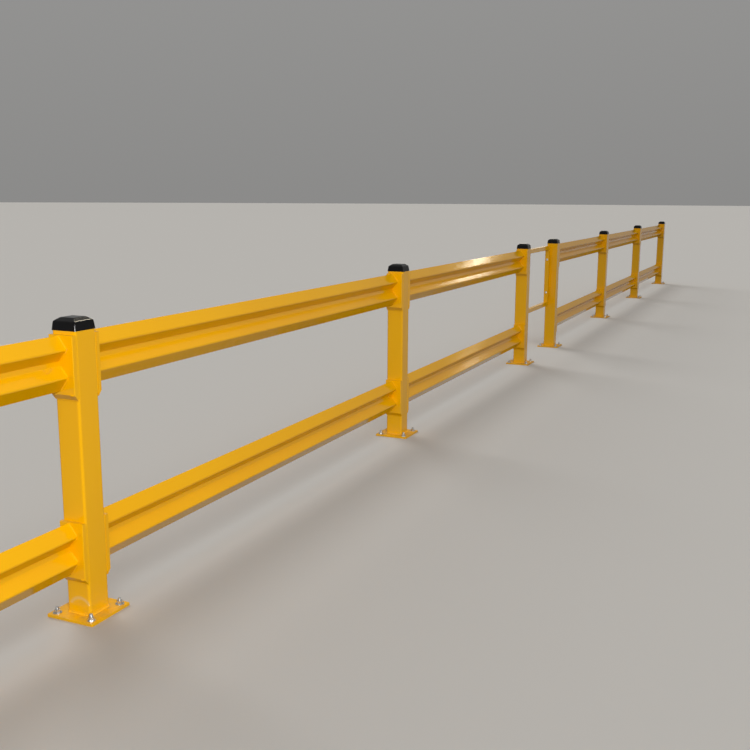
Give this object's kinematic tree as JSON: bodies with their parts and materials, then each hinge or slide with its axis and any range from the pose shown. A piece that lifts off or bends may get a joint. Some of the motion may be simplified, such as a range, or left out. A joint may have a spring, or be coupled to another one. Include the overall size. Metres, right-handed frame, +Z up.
{
  "type": "double-rail warehouse guardrail with a swing gate",
  "caption": "Straight floor-mounted steel guardrail: square posts on base plates, two ribbed rails a bay, black caps and a self-closing swing gate in the run.",
  "frame": {"origin": "on the floor, halfway along the run and in the middle of the posts", "axes": "+X along the run, +Y to the side away from the aisle, +Z up"},
  "size_m": [17.5872, 0.2032, 1.0668],
  "materials": {
    "yellow_paint": "semi-gloss powder coat",
    "black_plastic": "moulded gloss",
    "zinc_plate": "zinc plated"
  },
  "bodies": {
    "guardrail": {"post_1": "yellow_paint", "base_plate_1": "yellow_paint", "rail_shoes_1": "yellow_paint", "post_2": "yellow_paint", "base_plate_2": "yellow_paint", "rail_shoes_2": "yellow_paint", "post_3": "yellow_paint", "base_plate_3": "yellow_paint", "rail_shoes_3": "yellow_paint", "post_4": "yellow_paint", "base_plate_4": "yellow_paint", "rail_shoes_4": "yellow_paint", "post_5": "yellow_paint", "base_plate_5": "yellow_paint", "rail_shoes_5": "yellow_paint", "post_6": "yellow_paint", "base_plate_6": "yellow_paint", "rail_shoes_6": "yellow_paint", "post_7": "yellow_paint", "base_plate_7": "yellow_paint", "rail_shoes_7": "yellow_paint", "post_8": "yellow_paint", "base_plate_8": "yellow_paint", "rail_shoes_8": "yellow_paint", "post_caps": "black_plastic", "upper_rail_1": "yellow_paint", "lower_rail_1": "yellow_paint", "upper_rail_2": "yellow_paint", "lower_rail_2": "yellow_paint", "upper_rail_3": "yellow_paint", "lower_rail_3": "yellow_paint", "upper_rail_4": "yellow_paint", "lower_rail_4": "yellow_paint", "upper_rail_5": "yellow_paint", "lower_rail_5": "yellow_paint", "upper_rail_6": "yellow_paint", "lower_rail_6": "yellow_paint", "hinge_post_leaves": "yellow_paint", "hinge_pins": "zinc_plate", "gate_stop": "yellow_paint"},
    "gate": {"gate_latch_stile": "yellow_paint", "gate_hinge_stile": "yellow_paint", "gate_top_bar": "yellow_paint", "gate_bottom_bar": "yellow_paint", "hinge_gate_leaves": "yellow_paint"}
  },
  "joints": [
    {"name": "gate_hinge", "type": "hinge", "parent": "guardrail", "child": "gate", "pos_m": [0.8862, 0.0508, 0.7091], "axis": [0, 0, -1], "range_deg": [0, 90], "stiffness_Nm_per_rad": 6, "springref_deg": -20.05}
  ]
}
